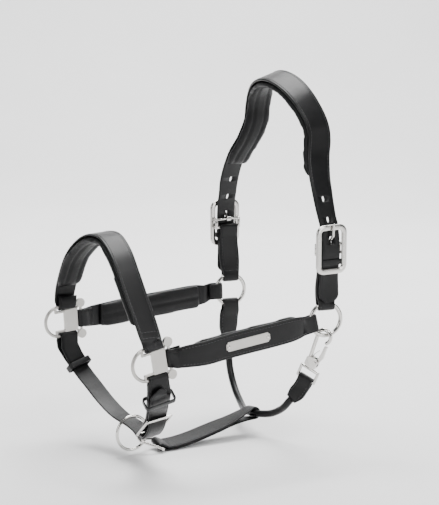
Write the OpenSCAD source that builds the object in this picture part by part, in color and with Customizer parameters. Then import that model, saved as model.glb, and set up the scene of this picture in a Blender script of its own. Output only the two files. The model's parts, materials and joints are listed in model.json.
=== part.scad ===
// Leather headcollar with a padded noseband, padded cheeks and an anatomic crownpiece.
// Frame: +Z up, -Y towards the nose, +X towards the horse's left side (the near side).
// The origin is the seat on the poll, under the middle of the crown padding.

/* [Leather] */
// Thickness of a single strap, such as a billet
strap_t = 2.6; // [2.2:0.1:2.8]
// Thickness of each ply of a folded and sewn strap
ply_t = 1.9; // [1.6:0.1:2.0]
// Thickness of the padding under the crown
crown_pad_t = 8.4; // [6:0.2:9]
// Thickness of the padding under the noseband
nose_pad_t = 8; // [6:0.5:9]
// Thickness of the padding under the side straps
side_pad_t = 7.5; // [5:0.5:8]
// How far the padding stands out past each edge of its leather
pad_overhang = 3.2; // [2:0.2:4]
// Radius of the rolled part of the throat strap
roll_r = 3.75; // [3:0.25:4]

/* [Metal] */
// Radius of the side rings to the middle of their wire
ring_r = 16.4; // [16.2:0.1:16.6]
// Radius of the side rings' wire
ring_wire = 2.1; // [1.9:0.1:2.2]
// Turn of the side rings about the vertical
ring_turn = 12; // [10:1:13]
// Radius of the lead ring to the middle of its wire
lead_r = 17.4; // [17.2:0.1:17.6]
// Radius of the lead ring's wire
lead_wire = 1.6; // [1.4:0.1:1.7]
// Height of a cheek buckle frame
buckle_h = 50; // [49:0.5:51]
// Width of a cheek buckle frame
buckle_w = 37; // [36.5:0.5:38]
// Width of the flat rim of a cheek buckle frame
rim_w = 6; // [5.6:0.1:6.2]
// Length of the name plate
plate_len = 51; // [40:1:56]
// Height of the name plate
plate_h = 9.5; // [8:0.5:12]

/* [Hidden] */
leather = "#1d1d20";
lining = "#26262a";
metal = "#cfccc6";
satin = "#bdb9b2";

near = 1;
far = -1;
clear = 0.6;                // gap round a wire that turns
ply_gap = 0.1;              // half the gap between two sewn plies
pad_clear = 0.4;            // between a strap and its padding
ply_half = ply_t + ply_gap; // half the thickness of a folded strap
bar_r = 1.4;                // wire radius of the cast bars
bar_fold = bar_r + 0.35 + ply_t;
ring_fold = ring_wire + clear + ply_t;
ring_fold_in = 2.4;         // how far a straight fold reaches inside a ring

// ---- vectors and routes -------------------------------------------------------------------
function unit(v) = v / norm(v);
function xyz(r) = [r[0], r[1], r[2]];
function side_of(r) = [r[3], r[4], r[5]];
function row(p, d, w) = [p[0], p[1], p[2], d[0], d[1], d[2], w];
function last(p) = p[len(p) - 1];

// A smooth curve through the rows, with n steps between each two
function curve(a, b, c, d, t) =
    0.5 * (2 * b + (c - a) * t + (2 * a - 5 * b + 4 * c - d) * t * t
        + (3 * b - a - 3 * c + d) * t * t * t);
function smooth(p, n) = [
    for (i = [0:len(p) - 2])
        for (k = [0:n - 1])
            curve(p[max(i - 1, 0)], p[i], p[i + 1], p[min(i + 2, len(p) - 1)], k / n),
    last(p)
];

function index(i, n, closed) = closed ? (i + n) % n : max(0, min(i, n - 1));
function heading(rows, i, closed) =
    unit(xyz(rows[index(i + 1, len(rows), closed)]) - xyz(rows[index(i - 1, len(rows), closed)]));
function square_to(d, t) = unit(d - (d * t) * t);

// Rows of a fold of outer radius r round a bar at c. It starts on the side that n faces.
function fold(c, n, toward, r, w, steps = 8) =
    let (u = unit(n), s = unit(cross(u, toward)), t = cross(s, u))
    [for (k = [0:steps]) row(c + r * (u * cos(180 * k / steps) + t * sin(180 * k / steps)), s, w)];

// Middle rows are [x, y, z, outward x, y, z, width, half thickness]
function outer_row(m, toward) = row(xyz(m) + m[7] * unit(side_of(m)),
    cross(unit(side_of(m)), toward), m[6]);
function inner_row(m, toward) = row(xyz(m) - m[7] * unit(side_of(m)),
    cross(unit(side_of(m)), toward), m[6]);
function reversed(p) = [for (i = [len(p) - 1:-1:0]) p[i]];

// A strap folded round a and hanging as two plies
function hairpin(a, n, toward, r, w, mids) = concat(
    [for (m = reversed(mids)) inner_row(m, toward)],
    fold(a, -n, -toward, r, w),
    [for (m = mids) outer_row(m, toward)]);

// A two-ply strap folded round a bar at both ends
function two_ply(a, na, da, ra, wa, mids, b, nb, db, rb, wb) = concat(
    fold(a, -na, -da, ra, wa),
    [for (m = mids) outer_row(m, da)],
    fold(b, nb, db, rb, wb),
    [for (m = reversed(mids)) inner_row(m, da)]);

// ---- solids swept along rows --------------------------------------------------------------
function strap_section(w, t) = [[w / 2, 0], [w / 2, -t], [-w / 2, -t], [-w / 2, 0]];
function pad_section(w, t) = [
    [w / 2 - 1, 0], [w / 2, -0.45 * t], [w / 2 - 0.35 * t, -0.9 * t], [w / 5, -t],
    [-w / 5, -t], [-w / 2 + 0.35 * t, -0.9 * t], [-w / 2, -0.45 * t], [-w / 2 + 1, 0]];
function round_section(r) = [for (k = [0:7]) [r * sin(45 * k), r * cos(45 * k)]];

function placed(rows, i, closed, section, drop) =
    let (t = heading(rows, i, closed), s = square_to(side_of(rows[i]), t), n = cross(t, s))
    [for (q = section) xyz(rows[i]) + s * q[0] + n * (q[1] - drop)];

module sweep(rings, closed = false) {
    m = len(rings[0]);
    n = len(rings);
    spans = closed ? n : n - 1;
    skin = [
        for (i = [0:spans - 1])
            for (k = [0:m - 1])
                let (a = i * m + k, b = i * m + (k + 1) % m,
                    c = ((i + 1) % n) * m + k, d = ((i + 1) % n) * m + (k + 1) % m)
                each [[a, c, b], [b, c, d]]
    ];
    start = [for (k = [1:m - 2]) [0, k, k + 1]];
    end = [for (k = [1:m - 2]) [(n - 1) * m, (n - 1) * m + k + 1, (n - 1) * m + k]];
    polyhedron(points = [for (r = rings) each r], faces = closed ? skin : concat(skin, start, end));
}

module strap(rows, t, closed = false)
    sweep([for (i = [0:len(rows) - 1])
        placed(rows, i, closed, strap_section(rows[i][6], t), 0)], closed);

// Padding under the rows, thinner at its two ends
module padding(rows, t, drop, overhang) {
    n = len(rows) - 1;
    sweep([for (i = [0:n])
        let (fill = min(1, 0.45 + 0.25 * min(i, n - i)))
        placed(rows, i, false,
            pad_section(rows[i][6] + 2 * overhang * fill, t * fill), drop)]);
}

module roll(points, r)
    sweep([for (i = [0:len(points) - 1])
        placed([for (p = points) row(p, [0, 1, 0.01], 1)], i, false, round_section(r), 0)]);

module rod(a, b, r) {
    v = b - a;
    translate(a)
        rotate([0, acos(v[2] / norm(v)), atan2(v[1], v[0])])
            cylinder(r = r, h = norm(v), $fn = 24);
}

module torus(r, wire, from = 0, turn = 360)
    rotate_extrude(angle = turn, start = from, $fn = 64)
        translate([r, 0]) circle(r = wire, $fn = 24);

// Moves a shape to o, with its X along x and its Y near y
module oriented(o, x, y) {
    a = unit(x);
    b = square_to(y, a);
    c = cross(a, b);
    multmatrix([[a[0], b[0], c[0], o[0]], [a[1], b[1], c[1], o[1]], [a[2], b[2], c[2], o[2]]])
        children();
}

module rounded(w, h, r) {
    square([w - 2 * r, h], center = true);
    square([w, h - 2 * r], center = true);
    for (i = [-1, 1], k = [-1, 1])
        translate([i * (w / 2 - r), k * (h / 2 - r)]) circle(r = r, $fn = 32);
}

module slot(w, h)
    hull() for (i = [-1, 1]) translate([0, i * (h - w) / 2]) circle(d = w, $fn = 24);

// ---- where the metal sits -----------------------------------------------------------------
function ring_at(s) = [s * 91, s > 0 ? -3 : 0, -228];
ring_normal = [cos(ring_turn), -sin(ring_turn), 0];
ring_along = [sin(ring_turn), cos(ring_turn), 0];
function bar_y(s) = s > 0 ? -5 : 0;
buckle_z = -154.5;
tongue_bar_z = buckle_z + 4.5;
strap_bar_z = buckle_z - 4.5;
bar_x = 96;
rim_x = 100.7;
rim_t = 3;

// The nose plates lean a little, as the noseband pulls them
function plate_at(s) = s > 0 ? [91, -198, -246] : [-91, -197, -239];
function plate_lean(s) = s > 0 ? 9 : 3;
function plate_u(s) = [0, cos(plate_lean(s)), sin(plate_lean(s))];
function plate_v(s) = [0, -sin(plate_lean(s)), cos(plate_lean(s))];
function on_plate(s, u, v) = plate_at(s) + u * plate_u(s) + v * plate_v(s);
strap_u = -4;   // middle of the straps on the upper and lower bars
bar_v = 15.5;     // height of the upper and lower bars
plate_fold_w = 19.4;   // width of a strap where it folds round one of those bars
rear_u = 12;      // place of the rear bar
dee_u = -13.5;    // middle of the half ring at the front

// ---- crownpiece -------------------------------------------------------------------------------
crown_route = [
    [-98.6, -1, -209, 0.2, 1, 0, 9], [-98.5, -0.8, -204, 0.18, 1, 0, 20],
    [-98.6, -0.5, -196, 0.13, 1, 0, 22], [-99.4, -0.2, -185, 0.05, 1, 0, 22],
    [-100.4, 0, -176.5, 0, 1, 0, 22], [-102.4, 0, -160, 0, 1, 0, 22],
    [-102, 0, -150, 0, 1, 0, 22], [-99.8, -0.5, -132.5, 0, 1, 0, 22],
    [-96, -1.2, -121, 0, 1, 0, 22], [-91.5, -2.2, -107, 0, 1, 0, 23],
    [-85.5, -1.8, -91, 0, 1, 0, 23], [-77, 0, -74, 0, 1, 0, 23.5],
    [-67.5, 5.5, -57, 0, 1, 0, 24.5], [-63, 11, -40, 0, 1, 0, 25.5],
    [-61, 12, -23, 0, 1, 0.05, 26], [-53.5, 10, -7, 0, 1, 0.15, 26.5],
    [-39, 5, 5, 0, 1, 0.27, 27], [-20, 1, 11.5, 0, 1, 0.33, 27],
    [0, 0, 11.5, 0, 1, 0.33, 27],
    [20, 1, 5.5, 0, 1, 0.33, 27], [38, 3, -6, 0, 1, 0.27, 27],
    [51, 6.5, -21, 0, 1, 0.15, 27], [58.5, 9, -35, 0, 1, 0.05, 27],
    [62, 9, -48, 0, 1, 0, 27], [67.5, 4, -65, 0, 1, 0, 26],
    [77.5, -2, -82, 0, 1, 0, 25], [86, -4.6, -98, 0, 1, 0, 24],
    [91.5, -5.5, -111, 0, 1, 0, 23], [96, -5.8, -122, 0, 1, 0, 22],
    [99.8, -5.3, -132.5, 0, 1, 0, 22], [102, -5, -150, 0, 1, 0, 22],
    [102.4, -5, -160, 0, 1, 0, 22], [100.4, -5, -176.5, 0, 1, 0, 22],
    [99.4, -5, -185, 0.05, 1, 0, 22], [98.6, -4.6, -196, 0.13, 1, 0, 22],
    [98.5, -4, -204, 0.18, 1, 0, 20], [98.6, -4, -209, 0.2, 1, 0, 9]
];
crown_steps = 3;
crown_rows = smooth(crown_route, crown_steps);
pad_first = 10.3;  // route rows between which the crown padding runs
pad_last = 25.1;
hole_z = [-105.5, -125.2, -145.4];   // punched holes, the lowest one on the tongue
hole_h = [6, 6, 8.5];

module crown_strap() color(leather)
    difference() {
        strap(crown_rows, strap_t);
        for (s = [near, far], i = [0:2])
            translate([s * (80 + 6 * i), bar_y(s) - (i == 2 ? 0 : 0.6), hole_z[i]])
                rotate([90, 0, 90 * s]) linear_extrude(40, center = true) slot(4, hole_h[i]);
    }

module crown_padding() color(lining)
    padding([for (i = [floor(pad_first * crown_steps):ceil(pad_last * crown_steps)]) crown_rows[i]],
        crown_pad_t, strap_t + pad_clear, pad_overhang);

// ---- cheek straps and their buckles ---------------------------------------------------------
function cheek_mids(s) = [
    for (m = [
        [95.8, 0, -168, 1, 0, 22.5, 2], [95, 0, -180, 1, -0.05, 23.2, 2],
        [93.3, 0.2, -192, 1, -0.12, 23.2, 2], [92, 0.6, -201, 1, -0.18, 21.5, 2.1],
        [91.2, 1.1, -207.5, 1, -0.21, 18.5, 4], [91, 1.4, -211.4, 1, -0.21, 17.5, ring_fold]
    ])
        [s * m[0], bar_y(s) + (s > 0 ? m[1] : 0), m[2], s * m[3], s * m[4], 0, m[5], m[6]]
];

module cheek_strap(s) color(leather)
    strap(two_ply(
        [s * bar_x, bar_y(s), strap_bar_z], [s, 0, 0], [0, 0, -1], bar_r + 0.3 + ply_t, 22,
        cheek_mids(s),
        ring_at(s) + [0, 0, ring_r - ring_fold_in], s * ring_normal, [0, 0, -1], ring_fold, 17),
        ply_t, true);

module buckle_frame(s) color(metal)
    translate([0, bar_y(s), 0]) {
        translate([s * (rim_x + rim_t / 2), 0, buckle_z])
            rotate([90, 0, 90])
                linear_extrude(rim_t, center = true)
                    difference() {
                        rounded(buckle_w, buckle_h, 8.5);
                        rounded(buckle_w - 2 * rim_w, buckle_h - 2 * rim_w, 3.5);
                    }
        for (z = [tongue_bar_z, strap_bar_z])
            translate([s * bar_x, 0, z]) rotate([90, 0, 0])
                cylinder(r = bar_r, h = 28, center = true, $fn = 24);
        for (k = [-1, 1])
            translate([s * (bar_x + rim_x + 0.6) / 2, k * 14.3, buckle_z])
                cube([rim_x - bar_x + 4, 2.8, 15], center = true);
    }

module buckle_tongue(s) color(metal)
    translate([s * bar_x, bar_y(s), tongue_bar_z]) {
        difference() {
            rotate([90, 0, 0]) cylinder(r = 2.9, h = 5, center = true, $fn = 32);
            rotate([90, 0, 0]) cylinder(r = bar_r + 0.08, h = 7, center = true, $fn = 32);
        }
        difference() {
            rod([s * 1.5, 0, 1.6], [s * 9, 0, 9.2], 1.3);
            rotate([90, 0, 0]) cylinder(r = bar_r + 0.3, h = 7, center = true, $fn = 32);
        }
        translate([s * 9, 0, 9.2]) sphere(r = 1.35, $fn = 24);
        rod([s * 9, 0, 9.2], [s * 9.8, 0, 20.5], 1.3);
        translate([s * 9.8, 0, 20.5]) sphere(r = 1.35, $fn = 24);
    }

module buckle_keeper(s) color(leather)
    translate([s * 97.85, bar_y(s), buckle_z - 13])
        linear_extrude(5.5, center = true)
            difference() {
                translate([s * 2.8, 0]) square([5.6, 24.6], center = true);
                translate([s * 2.1, 0]) square([4.8, 22.7], center = true);
            }

module side_ring(s) color(metal)
    translate(ring_at(s)) rotate([0, 0, -ring_turn]) rotate([0, 90, 0]) torus(ring_r, ring_wire);

// ---- side straps --------------------------------------------------------------------------------
// the side straps meet the rings a little below their middles
function side_dip(s) = s > 0 ? 12 : 2;
function into_ring(s) = ring_along * cos(side_dip(s)) + [0, 0, sin(side_dip(s))];
function ring_front(s) = ring_at(s) - (ring_r - ring_fold_in) * into_ring(s);
side_route = [
    [94.6, -178, 0.7, 20], [96, -169, 1.5, 22], [97.5, -148, 2.5, 24], [97.5, -125, 5.5, 24.5],
    [97.5, -101, 7.8, 24.5], [97.5, -73, 10.3, 24.5], [97.3, -52, 12.4, 24.2],
    [96, -40, 13.5, 23], [94.3, -32, 14, 20.5]
];
function side_rise(s) = s > 0 ? -245.6 : -239.4;
function side_slope(s) = s > 0 ? 1 : 0.62;
function side_rows(s) = smooth(
    [for (m = side_route)
        row([s * m[0] + (s < 0 && m[1] > -60 ? -0.05 * (m[1] + 60) : 0), m[1],
            side_rise(s) + side_slope(s) * m[2]], [0, 0, s], m[3])], 3);
function side_front(s) = on_plate(s, rear_u, 0);
tail = 13;       // length of the short inner ply at each end

module side_strap(s) {
    front = side_front(s);
    back = ring_front(s);
    into = into_ring(s);
    in_x = s * (ply_half - 0.6);
    color(leather)
        strap(concat(
            [row(front + [-in_x - s * 0.6, 0, 0] + tail * plate_u(s), s * plate_v(s), 18),
                row(front + [-in_x - s * 1.3, 0, 0] + 4.5 * plate_u(s), s * plate_v(s), 18)],
            fold(front, [-s, 0, 0], -plate_u(s), bar_fold, 18),
            side_rows(s),
            [row(back - 7.5 * into + s * (ring_fold - 0.3) * ring_normal, [0, 0, s], 18)],
            fold(back, s * ring_normal, into, ring_fold, 17),
            [row(back - 7.5 * into - s * (ring_fold - 0.3) * ring_normal, [0, 0, s], 17),
                row(back - 12 * into - s * 2.9 * ring_normal, [0, 0, s], 17)]),
            ply_t);
}

module side_padding(s) {
    rows = side_rows(s);
    color(lining)
        padding([for (i = [4:len(rows) - 3]) rows[i]], side_pad_t, ply_t + pad_clear, pad_overhang - 1);
}

module on_name_plate(y)
    oriented([97.5, -101, side_rise(near) + 7.8], [0, 1, 0.1], [0, -0.1, 1])
        translate([y, 0, 0]) children();

module name_plate() color(satin)
    on_name_plate(0)
        translate([0, 0, 0.1])
            linear_extrude(0.9)
                difference() {
                    square([plate_len, plate_h], center = true);
                    for (i = [-1, 1], k = [-1, 1])
                        translate([i * plate_len / 2, k * plate_h / 2]) circle(r = 2, $fn = 32);
                    for (i = [-1, 1])
                        translate([i * (plate_len / 2 - 2.6), 0]) circle(r = 0.9, $fn = 32);
                }

module name_plate_rivets() color(metal)
    for (i = [-1, 1])
        on_name_plate(i * (plate_len / 2 - 2.6)) {
            translate([0, 0, 0.1]) cylinder(r = 0.88, h = 1.4, $fn = 32);
            translate([0, 0, 1.02])
                intersection() {
                    translate([0, 0, -1.6]) sphere(r = 2.4, $fn = 48);
                    cylinder(r = 2, h = 2, $fn = 48);
                }
        }

// ---- noseband and its cast plates ---------------------------------------------------------------
nose_route = [
    [-94.2, -203.2, -217, 0, 1, 0, 22], [-91, -203, -205, 0, 1, 0, 23.5],
    [-81, -203.5, -187, 0, 1, 0, 24.5], [-67, -203.5, -166, 0, 1, 0, 24.5],
    [-47, -202.5, -149, 0, 1, 0, 24.5], [-25, -201, -138, 0, 1, 0.05, 24.5],
    [0, -200, -137, 0, 1, 0.08, 24.5], [22.5, -201, -148.3, 0, 1, 0.05, 24.5],
    [41.5, -203, -165.5, 0, 1, 0, 24.5], [59, -204.5, -185, 0, 1, 0, 24.5],
    [75.5, -205, -205, 0, 1, 0, 24], [87, -206, -218.5, 0, 1, 0, 23.5],
    [94, -207, -226, 0, 1, 0, 22]
];
nose_rows = smooth(nose_route, 3);

module noseband_strap() {
    far_bar = on_plate(far, strap_u, bar_v);
    near_bar = on_plate(near, strap_u, bar_v);
    color(leather)
        strap(concat(
            [row(far_bar + [3.3, 0.4, 11], [0, 1, 0], 21)],
            fold(far_bar, [1, 0, 0], -plate_v(far), bar_fold, plate_fold_w),
            nose_rows,
            fold(near_bar, [1, 0, 0], -plate_v(near), bar_fold, plate_fold_w),
            [row(near_bar + [-6, 1, 9.5], [0, 1, 0], 21)]),
            ply_t);
}

module noseband_padding() color(lining)
    padding([for (i = [4:len(nose_rows) - 5]) nose_rows[i]], nose_pad_t, ply_t + pad_clear, pad_overhang);

module nose_plate(s) color(satin)
    translate(plate_at(s)) rotate([plate_lean(s), 0, 0]) {
        cube([3, 15, 23.2], center = true);
        // the half ring at the front
        translate([0, dee_u, 0]) rotate([0, 90, 0]) torus(bar_v, 1.7, 180, 180);
        for (k = [-1, 1]) {
            rod([0, dee_u, k * bar_v], [0, rear_u, k * bar_v], bar_r);
            rod([0, dee_u - 3.5, k * 10.2], [0, -7, k * 10.2], bar_r);
            rod([0, dee_u - 3.5, k * 10], [0, dee_u - 3.5, k * bar_v], bar_r);
            translate([0, dee_u - 3.5, k * 10.2]) sphere(r = bar_r + 0.05, $fn = 24);
            translate([0, rear_u, k * 16.4]) rotate([0, 90, 0])
                cylinder(r = 4.8, h = 3, center = true, $fn = 48);
            rod([0, 6.5, k * 10.7], [0, 9, k * 13.5], 1.1);
        }
        rod([0, rear_u, -14], [0, rear_u, 14], bar_r);
    }

// ---- chin strap, its tab and its loop ----------------------------------------------------------
chin_bar = [46, -183, -327.8];   // lower bar of the chin loop, in the fold of the tab
chin_end = [68, -184.8, -310.2]; // its upper bar, over the strap
chin_across = [0, 1, 0.12];
chin_half = 13.4;
chin_route = [
    [-93.2, -203.6, -262.5, 0, -1, 0, 20], [-91.5, -200.5, -270, 0, -1, 0, 20],
    [-85.8, -196, -281, 0, -1, 0, 20], [-76, -191.5, -292.5, 0, -1, 0, 20],
    [-62, -187, -304.5, 0, -1, 0, 20], [-42, -182.5, -318.5, 0, -1, 0, 20],
    [-21, -179, -328, 0, -1, 0, 20], [0, -176.5, -331.8, 0, -1, 0, 20],
    [18, -177.5, -333.6, 0, -1, 0, 20], [34, -180, -335.4, 0, -1, -0.1, 20],
    [43, -181.5, -334.8, 0, -1, -0.12, 20], [50, -182.6, -332.3, 0, -1, -0.12, 20],
    [57.3, -183.3, -326.5, 0, -1, -0.12, 20], [62.6, -184, -320, 0, -1, -0.12, 20],
    [65.4, -184.6, -313.5, 0, -1, -0.12, 20], [66.9, -185.2, -308.4, 0, -1, -0.04, 20],
    [71.6, -187.6, -303.1, 0, -1, 0, 20], [79, -191, -296.6, 0, -1, -0.02, 20],
    [87.4, -195.2, -287.6, 0, -1, -0.08, 20], [93.2, -198, -280.6, 0, -1, -0.06, 20],
    [95.6, -197.6, -277, 0, -1, -0.1, 15], [96.8, -195, -272.5, 0, -1, -0.1, 5]
];
module chin_strap() {
    bar = on_plate(far, strap_u, -bar_v);
    color(leather)
        strap(concat(
            [row([-77, -193.4, -284.4], [0, -1, 0], 20),
                row([-83, -197, -275.2], [0, -1, 0], 20),
                row([-86.4, -200.6, -265], [0, -1, 0], 20)],
            fold(bar, [1, 0, 0], plate_v(far), bar_fold, plate_fold_w),
            smooth(chin_route, 3)),
            ply_t);
}

// A flat loop of leather round a strap: w and d are the inside of the loop
module keeper_loop(o, along, across, w, d, wide)
    oriented(o, across, along)
        rotate([90, 0, 0])
            linear_extrude(wide, center = true)
                difference() {
                    square([w + 3, d + 3], center = true);
                    square([w, d], center = true);
                }

module chin_far_keeper() color(leather)
    keeper_loop([-79.9, -194.1, -284.4], [0.62, 0.285, -0.73], [-0.18, 0.96, 0.22], 21.6, 6.4, 6);

chin_tab_mids = [
    [90.9, -198.8, -270, 1, 0, -0.04, 23.5, ply_half],
    [88.9, -197.2, -277.5, 0.93, 0, -0.37, 24.5, ply_half],
    [84, -194.6, -284.8, 0.75, 0, -0.66, 24, ply_half],
    [75, -190.4, -293.2, 0.69, 0, -0.72, 22.5, ply_half],
    [66.3, -186.8, -301.3, 0.71, 0, -0.7, 20.5, ply_half],
    [59.5, -184.8, -311, 0.85, 0, -0.55, 20, ply_half],
    [52.6, -183.6, -319.8, 0.8, 0, -0.6, 19.5, 2.7]
];
module chin_tab() color(leather)
    strap(two_ply(
        on_plate(near, strap_u, -bar_v), [1, 0, 0], [0, 0.1, -1], bar_fold, 21,
        chin_tab_mids,
        chin_bar, cross(chin_across, chin_bar - chin_end), chin_bar - chin_end, bar_fold, 19),
        ply_t, true);

module chin_near_keeper() color(leather)
    keeper_loop([84.9, -194.6, -285.6], [-0.63, 0.31, -0.71], [0.19, 0.95, 0.25], 25.6, 8, 6);

module chin_loop() color(metal)
    for (k = [-1, 1]) {
        side = k * chin_half * unit(chin_across);
        rod(chin_bar + side, chin_end + side, bar_r - 0.1);
        for (c = [chin_bar, chin_end])
            translate(c + side) sphere(r = bar_r + 0.15, $fn = 24);
        if (k > 0) {
            rod(chin_bar - side, chin_bar + side, bar_r);
            rod(chin_end - side, chin_end + side, bar_r);
        }
    }

// ---- lead ring, link and connecting strap ------------------------------------------------------
lead_at = [0, -176.5, -341.4];
link_front = lead_at + [0, 9.6, -9.6];
link_rear = [0, -146.4, -357.6];
link_pitch = atan2(link_rear[2] - link_front[2], link_rear[1] - link_front[1]);
link_len = norm(link_rear - link_front);
link_roll = 14;
link_wire = 1.6;

module lead_ring() color(metal) translate(lead_at) rotate([0, 90, 0]) torus(lead_r, lead_wire);

module link() color(metal)
    translate(link_front) rotate([link_pitch, 0, 0]) rotate([0, link_roll, 0]) {
        rod([-4.4, 0, 0], [4.4, 0, 0], link_wire);
        rod([-13.2, link_len, 0], [13.2, link_len, 0], link_wire);
        for (k = [-1, 1]) rod([k * 2.8, 0, 0], [k * 11.6, link_len, 0], link_wire - 0.25);
    }

link_across = [cos(link_roll), 0, -sin(link_roll)];
loop_bar = [0, -31.5, -341.5];
loop_fold = roll_r + 1 + ply_t;
connecting_mids = [
    [0, -138.5, -359.9, -0.22, -0.2, -0.95, 20, 2.2],
    [0, -125, -359.4, -0.2, 0.1, -0.95, 20.5, ply_half],
    [0, -105, -356.4, -0.18, 0.16, -0.94, 20.5, ply_half],
    [0, -80, -351, -0.16, 0.2, -0.93, 20.5, ply_half],
    [0, -60, -346.6, -0.06, 0.2, -0.94, 20, 2.3],
    [0, -43, -343.4, 0.06, 0.2, -0.96, 18, 4.6]
];
module connecting_strap() color(leather)
    strap(two_ply(
        link_rear, [link_across[2], -0.2, -0.96], [0, 1, -0.2], link_wire + 0.5 + ply_t, 17,
        connecting_mids,
        loop_bar, [0.12, 0.2, -0.97], [0, 1, 0.2], loop_fold, 15),
        ply_t, true);

// ---- throat strap --------------------------------------------------------------------------------
throat_far_mids = [
    [-91, 0, -247, -1, 0.21, 0, 17.5, ring_fold], [-91.1, -0.2, -251.5, -1, 0.21, 0, 19, 3.8],
    [-91.3, -1.5, -258, -1, 0.15, 0, 21, ply_half + 0.1],
    [-91.4, -2.3, -270, -1, 0.05, 0, 21, ply_half],
    [-91, -2.8, -279, -1, 0, 0.1, 16, ply_half]
];
module throat_far_tab() color(leather)
    strap(hairpin(ring_at(far) - [0, 0, ring_r - ring_fold_in], [-0.98, 0.2, 0], [0, 0, -1],
        ring_fold, 17, throat_far_mids), ply_t);

throat_route = [
    [-90.9, -2.9, -279.6], [-90.6, -3, -283.5], [-89, -3.2, -297], [-85, -4.5, -312],
    [-76.5, -6.5, -325.5], [-63.5, -10, -336], [-47, -15.3, -342.5], [-30, -22.5, -344.7],
    [-14, -29, -343.5], [0, -31.5, -341.5], [14, -30, -340], [28, -26, -337],
    [41, -23.5, -330.5], [49.2, -23, -324.6], [53.3, -22.2, -320.1], [56.5, -20.6, -316]
];
module throat_roll() color(leather) roll(smooth(throat_route, 4), roll_r);

// ---- snap hook -----------------------------------------------------------------------------------
snap_turn = [0, 24, 27];
snap_up = [sin(24) * cos(27), sin(24) * sin(27), cos(24)];
snap_across = [cos(24) * cos(27), cos(24) * sin(27), -sin(24)];
snap_at = ring_at(near) - [0, 0, ring_r] - 2 * snap_up - 0.6 * snap_across;
hook_r = 7.2;
hook_wire = 2;
eye_z = -50.5;      // the eye's lower bar, below the middle of the hook
eye_top = -39;
eye_half = 10;
gate_pivot = [3.2, 0, -29.5];

module in_snap() translate(snap_at) rotate(snap_turn) children();

module snap_body() color(metal)
    in_snap() {
        rotate([90, 0, 0]) torus(hook_r, hook_wire, -42, 222);
        rotate([0, 42, 0]) translate([hook_r, 0, 0]) sphere(r = hook_wire + 0.05, $fn = 24);
        rod([-hook_r, 0, 0], [-5, 0, -26], hook_wire);
        // the forked base that carries the gate
        difference() {
            translate([-0.8, 0, -31]) rotate([90, 0, 0])
                linear_extrude(6.4, center = true) rounded(13, 11.5, 3);
            translate([4.2, 0, -27]) cube([9, 3.6, 12], center = true);
            translate(gate_pivot) rotate([90, 0, 0])
                cylinder(r = 1, h = 9, center = true, $fn = 32);
        }
        rod([0, 0, -36], [0, 0, eye_top], 2.6);
        for (k = [-1, 1]) {
            rod([k * eye_half, 0, eye_top], [k * eye_half, 0, eye_z], 1.5);
            for (z = [eye_top, eye_z]) translate([k * eye_half, 0, z]) sphere(r = 1.55, $fn = 24);
        }
        for (z = [eye_top, eye_z]) rod([-eye_half, 0, z], [eye_half, 0, z], 1.5);
    }

module snap_gate() color(satin)
    in_snap()
        difference() {
            union() {
                translate(gate_pivot) rotate([90, 0, 0])
                    cylinder(r = 2.4, h = 3, center = true, $fn = 32);
                translate(gate_pivot) rotate([90, 0, 0])
                    linear_extrude(3, center = true)
                        polygon([[0, 0], [2.4, 0], [5.4, 8], [4.8, 14], [4.6, 21], [1.8, 21], [1.6, 12]]);
            }
            translate(gate_pivot) rotate([90, 0, 0])
                cylinder(r = 1.05, h = 5, center = true, $fn = 32);
        }

module snap_rivet() color(metal)
    in_snap() translate(gate_pivot) rotate([90, 0, 0]) {
        cylinder(r = 0.99, h = 6.6, center = true, $fn = 32);
        for (k = [-1, 1]) translate([0, 0, k * 3.7]) cylinder(r = 1.8, h = 0.9, center = true, $fn = 32);
    }

// A leaf spring in the body, bearing on the back of the gate
module snap_spring() color(satin)
    in_snap()
        translate([-1.4, 0, -24.8]) rotate([90, 0, 0])
            linear_extrude(2.4, center = true)
                polygon([[-1.4, -0.3], [-0.9, -0.3], [-0.1, 3], [3.1, 8.6], [2.7, 9], [-0.6, 3.2]]);

throat_near_mids = [
    [0, 0, -5, 0, -1, 0, 16.5, 2.9], [-1, 0, -12, 0, -1, 0, 16.5, ply_half],
    [-3, 0, -20, 0, -1, 0, 17, ply_half], [-5.5, 0, -28, 0, -1, 0, 12, ply_half]
];
function snap_point(p) = snap_at + p[0] * snap_across + p[2] * snap_up
    + p[1] * cross(snap_up, snap_across);
module throat_near_tab() color(leather)
    strap(hairpin(snap_point([0, 0, eye_z]), -cross(snap_up, snap_across), -snap_up,
        1.5 + 0.3 + ply_t, 16,
        [for (m = throat_near_mids)
            let (p = snap_point([m[0], 0, eye_z + m[2]]), n = -cross(snap_up, snap_across))
            [p[0], p[1], p[2], n[0], n[1], n[2], m[6], m[7]]]), ply_t);

// ---- the whole headcollar -----------------------------------------------------------------------
crown_strap();
crown_padding();
cheek_strap(near);  // near_cheek_strap
cheek_strap(far);  // far_cheek_strap
buckle_frame(near);  // near_buckle_frame
buckle_frame(far);  // far_buckle_frame
buckle_tongue(near);  // near_buckle_tongue
buckle_tongue(far);  // far_buckle_tongue
buckle_keeper(near);  // near_buckle_keeper
buckle_keeper(far);  // far_buckle_keeper
side_ring(near);  // near_ring
side_ring(far);  // far_ring
side_strap(near);  // near_side_strap
side_strap(far);  // far_side_strap
side_padding(near);  // near_side_padding
side_padding(far);  // far_side_padding
name_plate();
name_plate_rivets();
noseband_strap();
noseband_padding();
nose_plate(near);  // near_nose_plate
nose_plate(far);  // far_nose_plate
chin_strap();
chin_far_keeper();
chin_near_keeper();
chin_tab();
chin_loop();
lead_ring();
link();
connecting_strap();
throat_far_tab();
throat_roll();
throat_near_tab();
snap_body();
snap_gate();
snap_rivet();
snap_spring();
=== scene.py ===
import bpy
import bmesh
import json
import math
import numpy as np
from mathutils import Matrix, Vector, noise


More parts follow.
